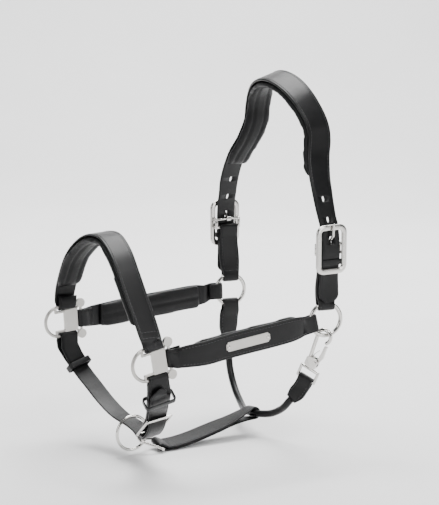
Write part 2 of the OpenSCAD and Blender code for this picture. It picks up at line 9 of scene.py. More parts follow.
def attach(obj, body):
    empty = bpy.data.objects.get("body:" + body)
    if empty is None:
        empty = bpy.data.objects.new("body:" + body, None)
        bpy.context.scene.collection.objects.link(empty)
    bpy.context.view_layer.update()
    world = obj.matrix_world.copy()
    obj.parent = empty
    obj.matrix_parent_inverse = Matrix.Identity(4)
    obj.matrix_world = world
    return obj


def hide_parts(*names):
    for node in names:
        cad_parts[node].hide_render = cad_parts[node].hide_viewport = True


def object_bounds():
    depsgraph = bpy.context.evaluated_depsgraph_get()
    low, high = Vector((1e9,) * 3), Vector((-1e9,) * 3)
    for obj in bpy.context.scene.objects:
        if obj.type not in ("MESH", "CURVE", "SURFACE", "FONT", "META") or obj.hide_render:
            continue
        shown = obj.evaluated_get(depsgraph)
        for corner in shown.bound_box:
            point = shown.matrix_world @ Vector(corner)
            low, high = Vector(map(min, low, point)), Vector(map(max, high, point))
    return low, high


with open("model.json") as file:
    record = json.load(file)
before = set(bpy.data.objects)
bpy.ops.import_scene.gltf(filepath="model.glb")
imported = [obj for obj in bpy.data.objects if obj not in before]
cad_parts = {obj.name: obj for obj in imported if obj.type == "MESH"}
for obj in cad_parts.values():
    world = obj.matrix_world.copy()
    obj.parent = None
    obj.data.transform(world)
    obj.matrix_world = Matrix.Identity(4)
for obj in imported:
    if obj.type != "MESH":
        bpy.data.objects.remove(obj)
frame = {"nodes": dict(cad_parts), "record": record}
CAD_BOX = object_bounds()
MM = 0.001
ROOT = "harness"
NEAR, FAR = 1, -1


def V(*c):
    return np.array(c, float)


def unit(v):
    v = np.asarray(v, float)
    return v / np.linalg.norm(v)


# ---- materials --------------------------------------------------------------------------


class Nodes:
    """A small builder for one material's node tree."""

    def __init__(self, name):
        self.mat = bpy.data.materials.new(name)
        self.mat.use_nodes = True
        self.tree = self.mat.node_tree
        self.tree.nodes.clear()
        self.out = self.add("ShaderNodeOutputMaterial")
        self.bsdf = self.add("ShaderNodeBsdfPrincipled")
        self.link(self.bsdf, "BSDF", self.out, "Surface")

    def add(self, kind, **values):
        n = self.tree.nodes.new(kind)
        for k, v in values.items():
            if k in n.inputs:
                n.inputs[k].default_value = v
            else:
                setattr(n, k, v)
        return n

    def link(self, a, out, b, into):
        self.tree.links.new(a.outputs[out], b.inputs[into])

    def noise(self, scale, detail=3.0, rough=0.55):
        n = self.add("ShaderNodeTexNoise")
        n.inputs["Scale"].default_value = scale
        n.inputs["Detail"].default_value = detail
        n.inputs["Roughness"].default_value = rough
        self.link(self.coords(), "Object", n, "Vector")
        return n

    def coords(self):
        if not hasattr(self, "_co"):
            self._co = self.add("ShaderNodeTexCoord")
        return self._co

    def ramp(self, src, out, stops):
        r = self.add("ShaderNodeValToRGB")
        e = r.color_ramp.elements
        while len(e) < len(stops):
            e.new(0.5)
        for i, (p, c) in enumerate(stops):
            e[i].position = p
            e[i].color = (c, c, c, 1) if not isinstance(c, tuple) else (*c, 1)
        self.link(src, out, r, "Fac")
        return r

    def bump(self, src, out, strength, distance, after=None):
        b = self.add("ShaderNodeBump")
        b.inputs["Strength"].default_value = strength
        b.inputs["Distance"].default_value = distance
        self.link(src, out, b, "Height")
        if after is not None:
            self.link(after, "Normal", b, "Normal")
        return b

    def set(self, **values):
        for k, v in values.items():
            self.bsdf.inputs[k.replace("_", " ")].default_value = v


def leather(name, dark, light, rough, grain, depth, coat):
    n = Nodes(name)
    broad = n.noise(38, 2.0)
    tone = n.ramp(broad, "Fac", [(0.3, dark), (0.75, light)])
    n.link(tone, "Color", n.bsdf, "Base Color")
    worn = n.noise(160, 4.0)
    gloss = n.ramp(worn, "Fac", [(0.25, rough - 0.04), (0.8, rough + 0.05)])
    n.link(gloss, "Color", n.bsdf, "Roughness")
    pores = n.add("ShaderNodeTexVoronoi", feature="DISTANCE_TO_EDGE")
    pores.inputs["Scale"].default_value = grain
    n.link(n.coords(), "Object", pores, "Vector")
    cells = n.ramp(pores, "Distance", [(0.0, 0.0), (0.16, 1.0)])
    fine = n.noise(grain * 2.2, 4.0, 0.7)
    wave = n.noise(70, 2.0)
    b = n.bump(wave, "Fac", 0.16, 0.0012)
    b = n.bump(cells, "Color", depth, 0.00022, b)
    b = n.bump(fine, "Fac", depth * 0.8, 0.00018, b)
    n.link(b, "Normal", n.bsdf, "Normal")
    n.set(Specular_IOR_Level=0.22, Coat_Weight=coat, Coat_Roughness=0.28)
    n.set(Sheen_Weight=0.01, Sheen_Roughness=0.4)
    return n.mat


def thread(name):
    n = Nodes(name)
    dark, light = (0.006, 0.006, 0.0065), (0.018, 0.018, 0.019)
    tone = n.ramp(n.noise(900, 2.0), "Fac", [(0.3, dark), (0.7, light)])
    n.link(tone, "Color", n.bsdf, "Base Color")
    twist = n.add("ShaderNodeTexWave", bands_direction="DIAGONAL")
    twist.inputs["Scale"].default_value = 900
    n.link(n.coords(), "Object", twist, "Vector")
    n.link(n.bump(twist, "Fac", 0.5, 0.0001), "Normal", n.bsdf, "Normal")
    n.set(Roughness=0.42)
    return n.mat


def nickel(name, tint, low, high, stipple, depth):
    n = Nodes(name)
    tone = n.ramp(n.noise(55, 3.0), "Fac", [(0.3, tuple(0.93 * c for c in tint)), (0.7, tint)])
    n.link(tone, "Color", n.bsdf, "Base Color")
    gloss = n.ramp(n.noise(240, 5.0, 0.65), "Fac", [(0.3, low), (0.75, high)])
    n.link(gloss, "Color", n.bsdf, "Roughness")
    edge = n.add("ShaderNodeBevel", samples=6)
    edge.inputs["Radius"].default_value = 0.00055
    b = n.bump(n.noise(stipple, 3.0, 0.6), "Fac", depth, 0.0001, edge)
    n.link(b, "Normal", n.bsdf, "Normal")
    n.set(Metallic=1.0)
    return n.mat


DARK, LIGHT = (0.0025, 0.0025, 0.0028), (0.0045, 0.0045, 0.005)   # the leather's two tones
BRIDLE = leather("bridle_leather_look", DARK, LIGHT, 0.34, 1150, 0.16, 0.05)
SOFT = leather("padding_leather_look", DARK, LIGHT, 0.42, 900, 0.35, 0.03)
ROLLED = leather("rolled_leather_look", DARK, LIGHT, 0.3, 1300, 0.22, 0.05)
THREAD = thread("thread_look")
POLISHED = nickel("polished_nickel_look", (0.66, 0.645, 0.62), 0.1, 0.2, 420, 0.08)
SATIN = nickel("satin_nickel_look", (0.52, 0.505, 0.48), 0.3, 0.42, 1500, 0.5)
STEEL = nickel("spring_steel_look", (0.56, 0.56, 0.56), 0.22, 0.34, 800, 0.2)

# ---- routes -----------------------------------------------------------------------------
# A row is x, y, z of the outer face, the direction across the strap, and the width, in mm.


def smooth(rows, n):
    p = np.array(rows, float)
    k = len(p)
    out = []
    for i in range(k - 1):
        a, b, c, d = p[max(i - 1, 0)], p[i], p[i + 1], p[min(i + 2, k - 1)]
        for j in range(n):
            t = j / n
            square, cube = 2 * a - 5 * b + 4 * c - d, 3 * b - a - 3 * c + d
            out.append(0.5 * (2 * b + (c - a) * t + square * t * t + cube * t**3))
    return np.array(out + [p[-1]])


def row(p, side, w):
    return np.concatenate([p, side, [w]])


def square_to(d, t):
    return unit(d - (d @ t) * t)


def fold(c, n, toward, r, w, steps=16):
    u = unit(n)
    s = unit(np.cross(u, toward))
    t = np.cross(s, u)
    arc = [math.pi * k / steps for k in range(steps + 1)]
    return [row(c + r * (u * math.cos(a) + t * math.sin(a)), s, w) for a in arc]


def mid_rows(mids, toward, outer, n=4):
    m = smooth(mids, n)
    k = 1 if outer else -1
    return [row(q[:3] + k * q[7] * unit(q[3:6]), np.cross(unit(q[3:6]), toward), q[6]) for q in m]


def two_ply(a, na, da, ra, wa, mids, b, nb, db, rb, wb):
    return (
        fold(a, -na, -da, ra, wa)
        + mid_rows(mids, da, True)
        + fold(b, nb, db, rb, wb)
        + mid_rows(mids, da, False)[::-1]
    )


def hairpin(a, n, toward, r, w, mids):
    return mid_rows(mids, toward, False)[::-1] + fold(a, -n, -toward, r, w) + mid_rows(mids, toward, True)


def frames(rows, closed=False):
    """Place, direction across, direction out and width of each row."""
    r = np.array(rows, float)
    p = r[:, :3]
    if closed:
        t = np.roll(p, -1, 0) - np.roll(p, 1, 0)
    else:
        t = np.gradient(p, axis=0)
    t /= np.linalg.norm(t, axis=1)[:, None]
    s = r[:, 3:6] - (r[:, 3:6] * t).sum(1)[:, None] * t
    s /= np.linalg.norm(s, axis=1)[:, None]
    return p, t, s, np.cross(t, s), r[:, 6]


# ---- meshes -----------------------------------------------------------------------------


def make(name, verts, faces, mat, slot):
    me = bpy.data.meshes.new(name)
    me.from_pydata([tuple(v) for v in np.asarray(verts) * MM], [], faces)
    bm = bmesh.new()
    bm.from_mesh(me)
    bmesh.ops.recalc_face_normals(bm, faces=bm.faces)
    bm.to_mesh(me)
    bm.free()
    me.polygons.foreach_set("use_smooth", [True] * len(me.polygons))
    o = bpy.data.objects.new(name, me)
    bpy.context.collection.objects.link(o)
    me.materials.append(mat)
    return o


def skin(rings, closed):
    """Vertices and faces of a sweep through rings of points."""
    n, m = len(rings), len(rings[0])
    verts = np.concatenate(rings)
    faces = []
    for i in range(n if closed else n - 1):
        j = (i + 1) % n
        for k in range(m):
            h = (k + 1) % m
            faces.append((i * m + k, i * m + h, j * m + h, j * m + k))
    if not closed:
        faces.append(tuple(range(m))[::-1])
        faces.append(tuple((n - 1) * m + k for k in range(m)))
    return verts, faces


def strap_section(w, t, groove):
    k = min(1.0, w / 12)
    half = [
        (0.0, -0.5 * t), (0.1, -0.26 * t), (0.4, -0.08 * t), (0.95, 0.0), (1.5, 0.03), (1.9, -groove),
        (2.3, 0.04), (3.2, 0.07), (4.6, 0.1),
    ]
    top = [(w / 2 - x * k, y) for x, y in half] + [(0.0, 0.14)]
    top += [(x * k - w / 2, y) for x, y in half[::-1]]
    low = [(0.1, -0.76 * t), (0.5, -0.95 * t), (1.2, -t)]
    under = [(x * k - w / 2, y) for x, y in low] + [(0, -t)]
    under += [(w / 2 - x * k, y) for x, y in low[::-1]]
    return np.array(top + under)


def strap_mesh(name, rows, t, closed=False, groove=0.24, ripple=0.12):
    p, _, s, n, w = frames(rows, closed)
    rings = []
    for i in range(len(p)):
        sec = strap_section(w[i], t, groove)
        wob = ripple * noise.noise(Vector(p[i] * 0.05) + Vector((len(name), 0, 0)))
        rings.append(p[i] + np.outer(sec[:, 0], s[i]) + np.outer(sec[:, 1] + wob, n[i]))
    return make(name, *skin(rings, closed), BRIDLE, "bridle_leather")


def stitch_rows(rows, across, out, pitch=3.5):
    """Places of stitches along a strap: across is a distance in from the edge, signed by side."""
    p, d, s, n, w = frames(rows)
    line = p + s * (np.sign(across) * (w / 2 - abs(across)))[:, None] + n * out
    step = np.linalg.norm(np.diff(line, axis=0), axis=1)
    arc = np.concatenate([[0], np.cumsum(step)])
    at = np.arange(pitch / 2, arc[-1], pitch)
    get = lambda q: np.stack([np.interp(at, arc, q[:, c]) for c in range(3)], 1)
    return list(zip(get(line), get(d), get(n)))


def capsule():
    prof = [(-1.0, 0.0), (-0.93, 0.5), (-0.7, 0.88), (0.0, 1.0), (0.7, 0.88), (0.93, 0.5), (1.0, 0.0)]
    pts = []
    for x, r in prof[1:-1]:
        for k in range(8):
            pts.append((x, r * math.cos(k * math.pi / 4), r * math.sin(k * math.pi / 4)))
    pts += [(-1, 0, 0), (1, 0, 0)]
    faces = []
    for i in range(4):
        for k in range(8):
            h = (k + 1) % 8
            faces.append((i * 8 + k, i * 8 + h, i * 8 + 8 + h, i * 8 + 8 + k))
    for k in range(8):
        h = (k + 1) % 8
        faces += [(40, h, k), (41, 32 + k, 32 + h)]
    return np.array(pts), faces


def stitches(name, places, length=2.5, thick=0.3):
    tpl, tf = capsule()
    verts, faces = [], []
    for p, d, n in places:
        d = unit(d)
        n = square_to(n, d)
        b = np.cross(n, d)
        m = np.stack([d * length / 2, n * thick, b * thick * 1.15])
        faces += [tuple(len(verts) * len(tpl) + i for i in f) for f in tf]
        verts.append(p + tpl @ m)
    o = make(name, np.concatenate(verts), faces, THREAD, "bridle_leather")
    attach(o, ROOT)
    return o


def rod(a, b, r, k=20):
    a, b = np.array(a, float), np.array(b, float)
    d = unit(b - a)
    s = unit(np.cross(d, (0.3, 0.5, 0.9)))
    n = np.cross(d, s)
    ring = np.array([[math.cos(2 * math.pi * i / k), math.sin(2 * math.pi * i / k)] for i in range(k)])
    rings = []
    first = [(a, 0.45), (a + d * 0.12 * r, 0.8), (a + d * 0.4 * r, 1)]
    last = [(b - d * 0.4 * r, 1), (b - d * 0.12 * r, 0.8), (b, 0.45)]
    for q, f in first + last:
        rings.append(q + r * f * (np.outer(ring[:, 0], s) + np.outer(ring[:, 1], n)))
    return skin(rings, False)


def merge(parts):
    verts, faces, k = [], [], 0
    for v, f in parts:
        verts.append(v)
        faces += [tuple(i + k for i in q) for q in f]
        k += len(v)
    return np.concatenate(verts), faces


def rounded_loop(w, h, r, per=10):
    """Points of a rounded rectangle, anticlockwise, evenly shaped for a sweep."""
    pts = []
    for cx, cy, a in ((1, 1, 0), (-1, 1, 90), (-1, -1, 180), (1, -1, 270)):
        for k in range(per + 1):
            t = math.radians(a + 90 * k / per)
            pts.append((cx * (w / 2 - r) + r * math.cos(t), cy * (h / 2 - r) + r * math.sin(t)))
    out = []
    for i, p in enumerate(pts):
        q = pts[(i + 1) % len(pts)]
        out.append(p)
        gap = math.dist(p, q)
        for j in range(1, int(gap / 2.5)):
            f = j / int(gap / 2.5)
            out.append((p[0] + (q[0] - p[0]) * f, p[1] + (q[1] - p[1]) * f))
    return out


# ---- where the metal sits, as in the CAD ---------------------------------------------------
PLY, PLY_GAP = 1.9, 0.1
PLY_HALF = PLY + PLY_GAP
STRAP_T = 2.6
BAR_R, RING_R, RING_WIRE = 1.4, 16.4, 2.1
BAR_FOLD = BAR_R + 0.35 + PLY
PLATE_FOLD_W = 19.4
PAD_CLEAR = 0.4
CROWN_PAD_T, NOSE_PAD_T, SIDE_PAD_T = 8.4, 8.0, 7.5
OVERHANG, SIDE_OVERHANG = 3.2, 2.2
ROLL_R, LINK_WIRE = 3.75, 1.6
RING_FOLD = RING_WIRE + 0.6 + PLY
RING_IN = 2.4
TURN = math.radians(12)
RING_NORMAL = V(math.cos(TURN), -math.sin(TURN), 0)
RING_ALONG = V(math.sin(TURN), math.cos(TURN), 0)
STRAP_U, BAR_V, REAR_U = -4.0, 15.5, 12.0
X, Y, Z = V(1, 0, 0), V(0, 1, 0), V(0, 0, 1)


def ring_at(s):
    return V(s * 91, -3 if s > 0 else 0, -228)


def bar_y(s):
    return -5.0 if s > 0 else 0.0


def on_plate(s, u, v):
    lean = math.radians(9 if s > 0 else 3)
    c = V(91, -198, -246) if s > 0 else V(-91, -197, -239)
    return c + u * V(0, math.cos(lean), math.sin(lean)) + v * V(0, -math.sin(lean), math.cos(lean))


def plate_u(s):
    return on_plate(s, 1, 0) - on_plate(s, 0, 0)


def plate_v(s):
    return on_plate(s, 0, 1) - on_plate(s, 0, 0)


BUCKLE_Z, BAR_X, RIM_X, RIM_T = -154.5, 96.0, 100.7, 3.0

CROWN = [
    [-98.6, -1, -209, 0.2, 1, 0, 9], [-98.5, -0.8, -204, 0.18, 1, 0, 20], [-98.6, -0.5, -196, 0.13, 1, 0, 22],
    [-99.4, -0.2, -185, 0.05, 1, 0, 22], [-100.4, 0, -176.5, 0, 1, 0, 22], [-102.4, 0, -160, 0, 1, 0, 22],
    [-102, 0, -150, 0, 1, 0, 22], [-99.8, -0.5, -132.5, 0, 1, 0, 22], [-96, -1.2, -121, 0, 1, 0, 22],
    [-91.5, -2.2, -107, 0, 1, 0, 23], [-85.5, -1.8, -91, 0, 1, 0, 23], [-77, 0, -74, 0, 1, 0, 23.5],
    [-67.5, 5.5, -57, 0, 1, 0, 24.5], [-63, 11, -40, 0, 1, 0, 25.5], [-61, 12, -23, 0, 1, 0.05, 26],
    [-53.5, 10, -7, 0, 1, 0.15, 26.5], [-39, 5, 5, 0, 1, 0.27, 27], [-20, 1, 11.5, 0, 1, 0.33, 27],
    [0, 0, 11.5, 0, 1, 0.33, 27], [20, 1, 5.5, 0, 1, 0.33, 27], [38, 3, -6, 0, 1, 0.27, 27],
    [51, 6.5, -21, 0, 1, 0.15, 27], [58.5, 9, -35, 0, 1, 0.05, 27], [62, 9, -48, 0, 1, 0, 27],
    [67.5, 4, -65, 0, 1, 0, 26], [77.5, -2, -82, 0, 1, 0, 25], [86, -4.6, -98, 0, 1, 0, 24],
    [91.5, -5.5, -111, 0, 1, 0, 23], [96, -5.8, -122, 0, 1, 0, 22], [99.8, -5.3, -132.5, 0, 1, 0, 22],
    [102, -5, -150, 0, 1, 0, 22], [102.4, -5, -160, 0, 1, 0, 22], [100.4, -5, -176.5, 0, 1, 0, 22],
    [99.4, -5, -185, 0.05, 1, 0, 22], [98.6, -4.6, -196, 0.13, 1, 0, 22], [98.5, -4, -204, 0.18, 1, 0, 20],
    [98.6, -4, -209, 0.2, 1, 0, 9],
]
PAD_FIRST, PAD_LAST = 10.3, 25.1
NOSE = [
    [-94.2, -203.2, -217, 0, 1, 0, 22], [-91, -203, -205, 0, 1, 0, 23.5], [-81, -203.5, -187, 0, 1, 0, 24.5],
    [-67, -203.5, -166, 0, 1, 0, 24.5], [-47, -202.5, -149, 0, 1, 0, 24.5],
    [-25, -201, -138, 0, 1, 0.05, 24.5],
    [0, -200, -137, 0, 1, 0.08, 24.5], [22.5, -201, -148.3, 0, 1, 0.05, 24.5],
    [41.5, -203, -165.5, 0, 1, 0, 24.5],
    [59, -204.5, -185, 0, 1, 0, 24.5], [75.5, -205, -205, 0, 1, 0, 24], [87, -206, -218.5, 0, 1, 0, 23.5],
    [94, -207, -226, 0, 1, 0, 22],
]
SIDE = [
    [94.6, -178, 0.7, 20], [96, -169, 1.5, 22], [97.5, -148, 2.5, 24], [97.5, -125, 5.5, 24.5],
    [97.5, -101, 7.8, 24.5], [97.5, -73, 10.3, 24.5], [97.3, -52, 12.4, 24.2], [96, -40, 13.5, 23],
    [94.3, -32, 14, 20.5],
]
CHIN = [
    [-93.2, -203.6, -262.5, 0, -1, 0, 20], [-91.5, -200.5, -270, 0, -1, 0, 20],
    [-85.8, -196, -281, 0, -1, 0, 20],
    [-76, -191.5, -292.5, 0, -1, 0, 20], [-62, -187, -304.5, 0, -1, 0, 20],
    [-42, -182.5, -318.5, 0, -1, 0, 20],
    [-21, -179, -328, 0, -1, 0, 20], [0, -176.5, -331.8, 0, -1, 0, 20], [18, -177.5, -333.6, 0, -1, 0, 20],
    [34, -180, -335.4, 0, -1, -0.1, 20], [43, -181.5, -334.8, 0, -1, -0.12, 20],
    [50, -182.6, -332.3, 0, -1, -0.12, 20], [57.3, -183.3, -326.5, 0, -1, -0.12, 20],
    [62.6, -184, -320, 0, -1, -0.12, 20], [65.4, -184.6, -313.5, 0, -1, -0.12, 20],
    [66.9, -185.2, -308.4, 0, -1, -0.04, 20], [71.6, -187.6, -303.1, 0, -1, 0, 20],
    [79, -191, -296.6, 0, -1, -0.02, 20], [87.4, -195.2, -287.6, 0, -1, -0.08, 20],
    [93.2, -198, -280.6, 0, -1, -0.06, 20], [95.6, -197.6, -277, 0, -1, -0.1, 15],
    [96.8, -195, -272.5, 0, -1, -0.1, 5],
]

# ---- crownpiece ------------------------------------------------------------------------------
ROWS_PER = 12
crown_rows = smooth(CROWN, ROWS_PER)
crown = strap_mesh("crown_leather", crown_rows, STRAP_T)


def cut(obj, places, w):
    """Punches upright oval holes through obj, along X."""
    parts = []
    for c, tall in places:
        loop = rounded_loop(w, tall, w / 2 - 0.01, 8)
        rings = [[(c[0] + x, c[1] + a, c[2] + b) for a, b in loop] for x in (-20, 20)]
        parts.append(skin([np.array(r) for r in rings], False))
    tool = make("cutter", *merge(parts), BRIDLE, "bridle_leather")
    m = obj.modifiers.new("holes", "BOOLEAN")
    m.object, m.operation, m.solver = tool, "DIFFERENCE", "EXACT"
    bake(obj)
    bpy.data.objects.remove(tool)


def bake(obj):
    dg = bpy.context.evaluated_depsgraph_get()
    me = bpy.data.meshes.new_from_object(obj.evaluated_get(dg))
    obj.modifiers.clear()
    obj.data = me


HOLES = [(80, -105.5, 6, 0.6), (86, -125.2, 6, 0.6), (92, -145.4, 8.5, 0.0)]
cut(crown, [((s * x, bar_y(s) - d, z), h) for s in (NEAR, FAR) for x, z, h, d in HOLES], 4)
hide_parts("crown_strap")
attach(crown, ROOT)

# ---- padding -----------------------------------------------------------------------------------


SWELL_ROOM = 0.95      # a pad starts smaller, because the cloth swells
VOXEL, SWELL_CAP = 0.0032, 0.0011   # metres
CHANNEL = 1.5          # depth and half width of a sewn channel


def pad_section(w, t):
    pts = []
    for k in range(20):
        a = math.radians(90 - 18 * k)
        x, y = math.cos(a), math.sin(a)
        x = math.copysign(abs(x) ** 0.62, x) * w / 2
        y = -t / 2 + math.copysign(abs(y) ** 0.7, y) * t / 2
        pts.append((x, y))
    return np.array(pts)


def pad_rings(rows, t, drop, over, scale):
    p, _, s, n, w = frames(rows)
    rings = []
    last = len(p) - 1
    for i in range(len(p)):
        f = min(1.0, 0.42 + 0.58 * math.sin(min(1.0, min(i, last - i) / (0.5 * ROWS_PER)) * math.pi / 2))
        sec = pad_section((w[i] + 2 * over * f) * scale, t * f * scale)
        rings.append(p[i] + np.outer(sec[:, 0], s[i]) + np.outer(sec[:, 1] - drop, n[i]))
    return rings


def local(points, rows):
    """Each point's place across and out from its nearest row, and that row's normal and width."""
    p, _, s, n, w = frames(rows)
    near = np.array([np.argmin(((p - q) ** 2).sum(1)) for q in points])
    rel = points - p[near]
    return (rel * s[near]).sum(1), (rel * n[near]).sum(1), n[near], w[near]


def pad(name, node, rows, t, drop, over, seams):
    """A stuffed strip under a strap. seams are places of its sewn channels, as parts of the half width."""
    scale = SWELL_ROOM
    rings = pad_rings(rows, t, drop, over, scale)
    o = make(name, *skin(rings, False), SOFT, "padding_leather")
    m = o.modifiers.new("remesh", "REMESH")
    m.mode, m.voxel_size = "VOXEL", VOXEL
    bake(o)
    rest = np.empty(len(o.data.vertices) * 3)
    o.data.vertices.foreach_get("co", rest)
    rest = rest.reshape(-1, 3)
    c = o.modifiers.new("cloth", "CLOTH")
    c.settings.use_pressure = True
    c.settings.uniform_pressure_force = 4
    c.settings.effector_weights.gravity = 0
    c.settings.quality = 5
    c.settings.tension_stiffness = 40
    c.settings.bending_stiffness = 6
    c.collision_settings.use_collision = False
    sc = bpy.context.scene
    for f in range(1, 21):
        sc.frame_set(f)
    bake(o)
    sc.frame_set(1)
    now = np.empty(len(o.data.vertices) * 3)
    o.data.vertices.foreach_get("co", now)
    move = now.reshape(-1, 3) - rest
    far = np.linalg.norm(move, axis=1)
    move *= (np.minimum(far, SWELL_CAP) / np.maximum(far, 1e-9))[:, None]
    o.data.vertices.foreach_set("co", (rest + move).ravel())
    sub = o.modifiers.new("sub", "SUBSURF")
    sub.levels = sub.render_levels = 1
    bake(o)
    co = np.empty(len(o.data.vertices) * 3)
    o.data.vertices.foreach_get("co", co)
    pts = co.reshape(-1, 3) / MM
    a, b, n, w = local(pts, rows)
    half = w / 2 + over
    inner = np.clip((-b - drop) / t * 2 - 0.9, 0, 1)
    sink = np.zeros(len(pts))
    for m in seams:
        sink += CHANNEL * np.exp(-(((a - m * half) / CHANNEL) ** 2))
    pts = pts + n * (inner * sink)[:, None]
    a, b, n, w = local(pts, rows)
    pts = pts - n * np.clip(b + drop, 0, None)[:, None] * (np.abs(a) < w / 2 + 0.5)[:, None]
    o.data.vertices.foreach_set("co", (pts * MM).ravel())
    o.data.update()
    o.data.polygons.foreach_set("use_smooth", [True] * len(o.data.polygons))
    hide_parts(node)
    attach(o, ROOT)


crown_pad_rows = crown_rows[int(PAD_FIRST * ROWS_PER): int(PAD_LAST * ROWS_PER) + 1]
pad("crown_pad", "crown_padding", crown_pad_rows, CROWN_PAD_T,
    STRAP_T + PAD_CLEAR, OVERHANG, (-0.42, 0.42))
nose_rows = smooth(NOSE, ROWS_PER)
pad("nose_pad", "noseband_padding", nose_rows[16:-19], NOSE_PAD_T,
    PLY + PAD_CLEAR, OVERHANG, (-0.4, 0.4))


def side_rows(s, n=ROWS_PER):
    rise, slope = (-245.6, 1.0) if s > 0 else (-239.4, 0.62)
    rows = []
    for x, y, z, w in SIDE:
        drift = -0.05 * (y + 60) if s < 0 and y > -60 else 0
        rows.append(row(V(s * x + drift, y, rise + slope * z), V(0, 0, s), w))
    return smooth(rows, n)


for s, tag in ((NEAR, "near"), (FAR, "far")):
    r = side_rows(s)
    pad(tag + "_side_pad", tag + "_side_padding", r[16:-10], SIDE_PAD_T,
        PLY + PAD_CLEAR, SIDE_OVERHANG, (0.0,))

# ---- side straps --------------------------------------------------------------------------------
thread_places = []


def side_strap(s, tag):
    dip = math.radians(12 if s > 0 else 2)
    into = RING_ALONG * math.cos(dip) + V(0, 0, math.sin(dip))
    front = on_plate(s, REAR_U, 0)
    back = ring_at(s) - (RING_R - RING_IN) * into
    in_x = s * (PLY_HALF - 0.6)
    rows = (
        [row(front + V(-in_x - s * 0.6, 0, 0) + 13 * plate_u(s), s * plate_v(s), 18),
         row(front + V(-in_x - s * 1.3, 0, 0) + 4.5 * plate_u(s), s * plate_v(s), 18)]
        + fold(front, V(-s, 0, 0), -plate_u(s), BAR_FOLD, 18)
        + list(side_rows(s))
        + [row(back - 7.5 * into + s * (RING_FOLD - 0.3) * RING_NORMAL, V(0, 0, s), 18)]
        + fold(back, s * RING_NORMAL, into, RING_FOLD, 17)
        + [row(back - 7.5 * into - s * (RING_FOLD - 0.3) * RING_NORMAL, V(0, 0, s), 17),
           row(back - 12 * into - s * 2.9 * RING_NORMAL, V(0, 0, s), 17)]
    )
    o = strap_mesh(tag + "_side_leather", rows, PLY)
    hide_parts(tag + "_side_strap")
    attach(o, ROOT)
    body = side_rows(s)[6:-3]
    for e in (2.9, -2.9):
        thread_places.extend(stitch_rows(body, e, 0.1))
    for y in (9, 12.5):
        ends = [row(front + V(s * 3.2, y, z), V(0, 1, 0), 1) for z in np.linspace(-7, 7, 9)]
        thread_places.extend(stitch_rows(ends, 0.5, 0.25))


for s, tag in ((NEAR, "near"), (FAR, "far")):
    side_strap(s, tag)

# ---- noseband ------------------------------------------------------------------------------------
far_bar, near_bar = on_plate(FAR, STRAP_U, BAR_V), on_plate(NEAR, STRAP_U, BAR_V)
nose = strap_mesh(
    "nose_leather",
    [row(far_bar + V(3.3, 0.4, 11), Y, 21)]
    + fold(far_bar, X, -plate_v(FAR), BAR_FOLD, PLATE_FOLD_W)
    + list(nose_rows)
    + fold(near_bar, X, -plate_v(NEAR), BAR_FOLD, PLATE_FOLD_W)
    + [row(near_bar + V(-6, 1, 9.5), Y, 21)],
    PLY,
)
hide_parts("noseband_strap")
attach(nose, ROOT)
for e in (2.9, -2.9):
    thread_places.extend(stitch_rows(nose_rows[4:-4], e, 0.1))
for k in (-8, -14):
    c = nose_rows[k]
    d = unit(nose_rows[k + 1][:3] - nose_rows[k - 1][:3])
    across = [row(c[:3] + Y * y, d, 1) for y in np.linspace(-8, 8, 9)]
    thread_places.extend(stitch_rows(across[::-1], 0.5, 0.12))
padded_crown = crown_rows[int(9.9 * ROWS_PER): int(25.6 * ROWS_PER)]
for e in (2.9, -2.9):
    thread_places.extend(stitch_rows(padded_crown, e, 0.1))

# ---- cheek straps, buckles and keepers ------------------------------------------------------------
CHEEK = [
    [95.8, 0, -168, 1, 0, 22.5, 2], [95, 0, -180, 1, -0.05, 23.2, 2], [93.3, 0.2, -192, 1, -0.12, 23.2, 2],
    [92, 0.6, -201, 1, -0.18, 21.5, 2.1], [91.2, 1.1, -207.5, 1, -0.21, 18.5, 4],
    [91, 1.4, -211.4, 1, -0.21, 17.5, RING_FOLD],
]


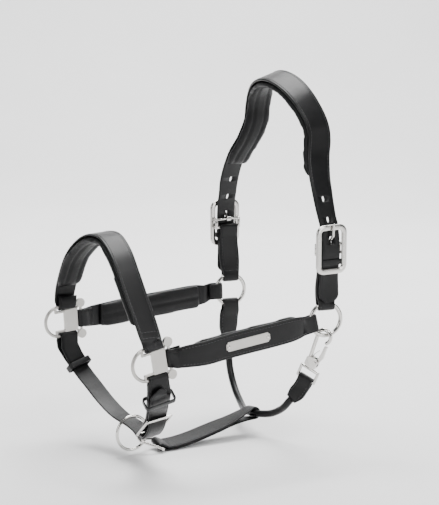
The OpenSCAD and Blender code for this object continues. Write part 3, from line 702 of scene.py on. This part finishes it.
def cheek(s, tag):
    mids = [
        [s * m[0], bar_y(s) + (m[1] if s > 0 else 0), m[2], s * m[3], s * m[4], 0, m[5], m[6]]
        for m in CHEEK
    ]
    rows = two_ply(
        V(s * BAR_X, bar_y(s), BUCKLE_Z - 4.5), V(s, 0, 0), -Z, BAR_R + 0.3 + PLY, 22, mids,
        ring_at(s) + V(0, 0, RING_R - RING_IN), s * RING_NORMAL, -Z, RING_FOLD, 17,
    )
    o = strap_mesh(tag + "_cheek_leather", rows, PLY, True)
    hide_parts(tag + "_cheek_strap")
    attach(o, ROOT)
    for outer in (True, False):
        edge = mid_rows(mids, -Z, outer)[1:-4]
        edge = edge if outer else edge[::-1]
        for e in (2.6, -2.6):
            thread_places.extend(stitch_rows(edge, e, 0.1))
        ends = mid_rows(mids, -Z, outer)[15]
        line = [row(ends[:3] + Y * y, -Z, 1) for y in np.linspace(-7, 7, 8)]
        thread_places.extend(stitch_rows(line[::-1] if (outer == (s > 0)) else line, 0.5, 0.12))
    # the strip that holds the billet down
    pts = [(97.9, -12.2), (101, -12.2), (102.7, -11.9), (103.25, -11), (103.4, -6), (103.4, 0)]
    pts += [(x, -y) for x, y in pts[-2::-1]]
    loop = [row(V(s * x, bar_y(s) + s * y, BUCKLE_Z - 13), Z, 5.5) for x, y in pts]
    k = strap_mesh(tag + "_keeper_leather", smooth(loop, 4), 1.1, groove=0.1, ripple=0)
    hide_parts(tag + "_buckle_keeper")
    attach(k, ROOT)
    # the buckle's frame, with rounded edges
    rings = []
    path = rounded_loop(31, 44, 6.2, 9)
    cx = V(s * (RIM_X + RIM_T / 2), bar_y(s), BUCKLE_Z)
    for i, (a, b) in enumerate(path):
        qa, qb = path[(i + 1) % len(path)], path[i - 1]
        t = unit(V(0, qa[0] - qb[0], qa[1] - qb[1]))
        side = np.cross(t, X)
        c = cx + V(0, a, b)
        ring = []
        for k2 in range(20):
            ang = 2 * math.pi * k2 / 20
            ca, sa = math.cos(ang), math.sin(ang)
            across = side * math.copysign(abs(ca) ** 0.62, ca) * 3.0
            ring.append(c + across + X * math.copysign(abs(sa) ** 0.7, sa) * 1.5)
        rings.append(np.array(ring))
    parts = [skin(rings, True)]
    for z in (BUCKLE_Z + 4.5, BUCKLE_Z - 4.5):
        parts.append(rod(V(s * BAR_X, bar_y(s) - 14.2, z), V(s * BAR_X, bar_y(s) + 14.2, z), BAR_R))
    for k2 in (-1, 1):
        for z in (BUCKLE_Z + 4.5, BUCKLE_Z - 4.5):
            inner = V(s * (BAR_X - 0.6), bar_y(s) + k2 * 14.3, z)
            parts.append(rod(inner, V(s * (RIM_X + 1), bar_y(s) + k2 * 14.6, z), 1.6))
        y = bar_y(s) + k2 * 14.3
        parts.append(rod(V(s * BAR_X, y, BUCKLE_Z - 6), V(s * BAR_X, y, BUCKLE_Z + 6), 1.5))
    f = make(tag + "_buckle", *merge(parts), POLISHED, "polished_nickel")
    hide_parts(tag + "_buckle_frame")
    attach(f, ROOT)


for s, tag in ((NEAR, "near"), (FAR, "far")):
    cheek(s, tag)

# ---- chin strap ------------------------------------------------------------------------------------
bar = on_plate(FAR, STRAP_U, -BAR_V)
chin_rows = smooth(CHIN, 8)
chin = strap_mesh(
    "chin_leather",
    [row(V(*p), -Y, 20) for p in ((-77, -193.4, -284.4), (-83, -197, -275.2), (-86.4, -200.6, -265))]
    + fold(bar, X, plate_v(FAR), BAR_FOLD, PLATE_FOLD_W) + list(chin_rows),
    PLY,
)
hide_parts("chin_strap")
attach(chin, ROOT)
for e in (2.6, -2.6):
    thread_places.extend(stitch_rows(chin_rows[2:26], e, 0.1))
CHIN_BAR, CHIN_END = V(46, -183, -327.8), V(68, -184.8, -310.2)
CHIN_ACROSS = V(0, 1, 0.12)
TAB = [
    [90.9, -198.8, -270, 1, 0, -0.04, 23.5, PLY_HALF], [88.9, -197.2, -277.5, 0.93, 0, -0.37, 24.5, PLY_HALF],
    [84, -194.6, -284.8, 0.75, 0, -0.66, 24, PLY_HALF], [75, -190.4, -293.2, 0.69, 0, -0.72, 22.5, PLY_HALF],
    [66.3, -186.8, -301.3, 0.71, 0, -0.7, 20.5, PLY_HALF], [59.5, -184.8, -311, 0.85, 0, -0.55, 20, PLY_HALF],
    [52.6, -183.6, -319.8, 0.8, 0, -0.6, 19.5, 2.7],
]
down = CHIN_BAR - CHIN_END
tab = strap_mesh(
    "chin_tab_leather",
    two_ply(on_plate(NEAR, STRAP_U, -BAR_V), X, V(0, 0.1, -1), BAR_FOLD, 21, TAB,
            CHIN_BAR, np.cross(CHIN_ACROSS, down), down, BAR_FOLD, 19),
    PLY, True,
)
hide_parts("chin_tab")
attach(tab, ROOT)
for e in (2.4, -2.4):
    thread_places.extend(stitch_rows(mid_rows(TAB, V(0, 0.1, -1), True)[1:14], e, 0.1))


def keeper(name, node, o, along, across, w, d, wide):
    a = unit(across)
    b = square_to(unit(along), a)
    c = np.cross(a, b)
    # the leather's outer face, so the loop is a ply bigger than the hole
    loop = rounded_loop(w + 3, d + 3, 2.0, 6)
    rows = [row(o + a * p - c * q, b, wide) for p, q in loop]
    k = strap_mesh(name, rows[::-1], 1.4, True, groove=0.12, ripple=0)
    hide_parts(node)
    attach(k, ROOT)


keeper("chin_far_keeper_leather", "chin_far_keeper", V(-79.9, -194.1, -284.4),
       V(0.62, 0.285, -0.73), V(-0.18, 0.96, 0.22), 21.6, 6.4, 6)
keeper("chin_near_keeper_leather", "chin_near_keeper", V(84.9, -194.6, -285.6),
       V(-0.63, 0.31, -0.71), V(0.19, 0.95, 0.25), 25.6, 8, 6)

# ---- connecting strap --------------------------------------------------------------------------------
ROLL = math.radians(14)
CONNECT = [
    [0, -138.5, -359.9, -0.22, -0.2, -0.95, 20, 2.2], [0, -125, -359.4, -0.2, 0.1, -0.95, 20.5, PLY_HALF],
    [0, -105, -356.4, -0.18, 0.16, -0.94, 20.5, PLY_HALF], [0, -80, -351, -0.16, 0.2, -0.93, 20.5, PLY_HALF],
    [0, -60, -346.6, -0.06, 0.2, -0.94, 20, 2.3], [0, -43, -343.4, 0.06, 0.2, -0.96, 18, 4.6],
]
connect = strap_mesh(
    "connecting_leather",
    two_ply(V(0, -146.4, -357.6), V(-math.sin(ROLL), -0.2, -0.96), V(0, 1, -0.2),
            LINK_WIRE + 0.5 + PLY, 17, CONNECT,
            V(0, -31.5, -341.5), V(0.12, 0.2, -0.97), V(0, 1, 0.2), ROLL_R + 1 + PLY, 15),
    PLY, True,
)
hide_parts("connecting_strap")
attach(connect, ROOT)
for outer in (True, False):
    edge = mid_rows(CONNECT, V(0, 1, -0.1), outer)[1:-2]
    for e in (2.5, -2.5):
        thread_places.extend(stitch_rows(edge if outer else edge[::-1], e, 0.1))

# ---- throat strap -----------------------------------------------------------------------------------
FAR_TAB = [
    [-91, 0, -247, -1, 0.21, 0, 17.5, RING_FOLD], [-91.1, -0.2, -251.5, -1, 0.21, 0, 19, 3.8],
    [-91.3, -1.5, -258, -1, 0.15, 0, 21, PLY_HALF + 0.1], [-91.4, -2.3, -270, -1, 0.05, 0, 21, PLY_HALF],
    [-91, -2.8, -279, -1, 0, 0.1, 16, PLY_HALF],
]
far_tab = strap_mesh(
    "throat_far_leather",
    hairpin(ring_at(FAR) - V(0, 0, RING_R - RING_IN), V(-0.98, 0.2, 0), -Z, RING_FOLD, 17, FAR_TAB), PLY)
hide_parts("throat_far_tab")
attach(far_tab, ROOT)
THROAT = [
    [-90.9, -2.9, -279.6], [-90.6, -3, -283.5], [-89, -3.2, -297], [-85, -4.5, -312], [-76.5, -6.5, -325.5],
    [-63.5, -10, -336], [-47, -15.3, -342.5], [-30, -22.5, -344.7], [-14, -29, -343.5], [0, -31.5, -341.5],
    [14, -30, -340], [28, -26, -337], [41, -23.5, -330.5], [49.2, -23, -324.6], [53.3, -22.2, -320.1],
    [56.5, -20.6, -316],
]
roll_rows = smooth([list(p) + [0, 1, 0.01, 2 * ROLL_R] for p in THROAT], 10)
p, d, s_, n_, w = frames(roll_rows)
rings = []
for i in range(len(p)):
    ring = []
    for k in range(24):
        a = 2 * math.pi * k / 24
        # the seam: a groove with a raised edge beside it
        groove, edge = math.exp(-(((a - 4.45) / 0.16) ** 2)), math.exp(-(((a - 4.95) / 0.22) ** 2))
        r = ROLL_R * (1 - 0.09 * groove + 0.05 * edge)
        ring.append(p[i] + r * (math.sin(a) * s_[i] + math.cos(a) * n_[i]))
    rings.append(np.array(ring))
roll = make("throat_roll_leather", *skin(rings, False), ROLLED, "rolled_leather")
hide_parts("throat_roll")
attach(roll, ROOT)
SNAP_LEAN, SNAP_TURN = math.radians(24), math.radians(27)
UP = V(
    math.sin(SNAP_LEAN) * math.cos(SNAP_TURN), math.sin(SNAP_LEAN) * math.sin(SNAP_TURN),
    math.cos(SNAP_LEAN))
SNAP_X = V(
    math.cos(SNAP_LEAN) * math.cos(SNAP_TURN), math.cos(SNAP_LEAN) * math.sin(SNAP_TURN),
    -math.sin(SNAP_LEAN))
SNAP_Y = np.cross(UP, SNAP_X)
SNAP_AT = ring_at(NEAR) - V(0, 0, RING_R) - 2 * UP - 0.6 * SNAP_X
EYE = -50.5
NEAR_TAB = [[0, -5, 16.5, 2.9], [-1, -12, 16.5, PLY_HALF], [-3, -20, 17, PLY_HALF], [-5.5, -28, 12, PLY_HALF]]
mids = []
for a, b, w1, h in NEAR_TAB:
    q = SNAP_AT + a * SNAP_X + (EYE + b) * UP
    mids.append([*q, *(-SNAP_Y), w1, h])
near_tab = strap_mesh(
    "throat_near_leather",
    hairpin(SNAP_AT + EYE * UP, -SNAP_Y, -UP, 1.5 + 0.3 + PLY, 16, mids), PLY)
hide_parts("throat_near_tab")
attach(near_tab, ROOT)
for outer in (True, False):
    edge = mid_rows(mids, -UP, outer)[1:-3]
    for e in (2.3, -2.3):
        thread_places.extend(stitch_rows(edge if outer else edge[::-1], e, 0.1))
    edge = mid_rows(FAR_TAB, -Z, outer)[6:-2]
    for e in (2.3, -2.3):
        thread_places.extend(stitch_rows(edge if outer else edge[::-1], e, 0.1))
stitches("stitching", thread_places)

# ---- the CAD's own metal ------------------------------------------------------------------------------
LOOKS = {"polished_nickel": POLISHED, "satin_nickel": SATIN, "spring_steel": STEEL,
         "bridle_leather": BRIDLE, "padding_leather": SOFT, "rolled_leather": ROLLED}
SLOT_OF = {q["node"]: q["material_slot"] for q in frame["record"]["subparts"]}
for name, o in frame["nodes"].items():
    for k in range(max(1, len(o.material_slots))):
        if not o.material_slots:
            o.data.materials.append(None)
        o.material_slots[k].material = LOOKS[SLOT_OF[name]]

# ---- stage, lights and camera -----------------------------------------------------------------------------
low = CAD_BOX[0][2] - 0.0005
AZ, EL = math.radians(57.5), math.radians(10)     # the camera's direction


def stage_mesh():
    """A floor that turns up into a backdrop, away from the camera."""
    back = V(-math.sin(AZ), math.cos(AZ), 0)
    side = V(math.cos(AZ), math.sin(AZ), 0)
    bend = np.linspace(0.1, 1.57, 14)
    prof = [(-6.0, 0.0), (1.6, 0.0)]
    prof += [(1.6 + 1.2 * math.sin(a), 1.2 - 1.2 * math.cos(a)) for a in bend] + [(2.8, 6.0)]
    verts, faces = [], []
    for d, h in prof:
        for k in (-6, 6):
            verts.append((back * d + side * k + V(0, 0, low + h)) / MM)
    for i in range(len(prof) - 1):
        faces.append((2 * i, 2 * i + 1, 2 * i + 3, 2 * i + 2))
    return verts, faces


paper = Nodes("paper_look")
tone = paper.ramp(paper.noise(3, 2.0), "Fac", [(0.3, (0.86, 0.86, 0.86)), (0.7, (0.9, 0.9, 0.9))])
paper.link(tone, "Color", paper.bsdf, "Base Color")
paper.set(Roughness=0.85)
floor = make("floor", *stage_mesh(), paper.mat, "bridle_leather")


def softbox(name, at, aim, size, power):
    data = bpy.data.lights.new(name, "AREA")
    data.shape, data.size, data.size_y = "RECTANGLE", size[0], size[1]
    data.energy = power
    o = bpy.data.objects.new(name, data)
    o.location = at
    o.rotation_euler = (Vector(aim) - Vector(at)).to_track_quat("-Z", "Y").to_euler()
    bpy.context.collection.objects.link(o)


MIDDLE = (0.0, -0.1, -0.17)
softbox("key", (1.25, -0.15, 1.35), MIDDLE, (1.1, 0.8), 26)
softbox("front", (0.5, -2.1, 0.55), MIDDLE, (1.0, 1.3), 16)
softbox("rear_top", (-0.7, 0.9, 1.5), MIDDLE, (1.4, 0.8), 34)
softbox("backdrop", (-0.6, 0.2, 1.9), (-1.6, 1.3, 0.2), (1.6, 1.2), 120)
softbox("side", (1.9, 0.9, 0.25), MIDDLE, (0.5, 1.3), 9)

world = bpy.data.worlds.new("studio")
world.use_nodes = True
bpy.context.scene.world = world
wn = world.node_tree
wn.nodes["Background"].inputs["Color"].default_value = (0.93, 0.94, 0.96, 1)
wn.nodes["Background"].inputs["Strength"].default_value = 0.2

BACK = Vector((math.sin(AZ) * math.cos(EL), -math.cos(AZ) * math.cos(EL), math.sin(EL)))
RIGHT = Vector((math.cos(AZ), math.sin(AZ), 0))
cam = bpy.data.objects.new("camera", bpy.data.cameras.new("camera"))
bpy.context.collection.objects.link(cam)
turn = Matrix((RIGHT, BACK.cross(RIGHT), BACK)).transposed().to_4x4()
cam.matrix_world = Matrix.Translation((1.4559, -0.9994, 0.1379)) @ turn
cam.data.sensor_width = 36
cam.data.lens = 121.9
bpy.context.scene.camera = cam
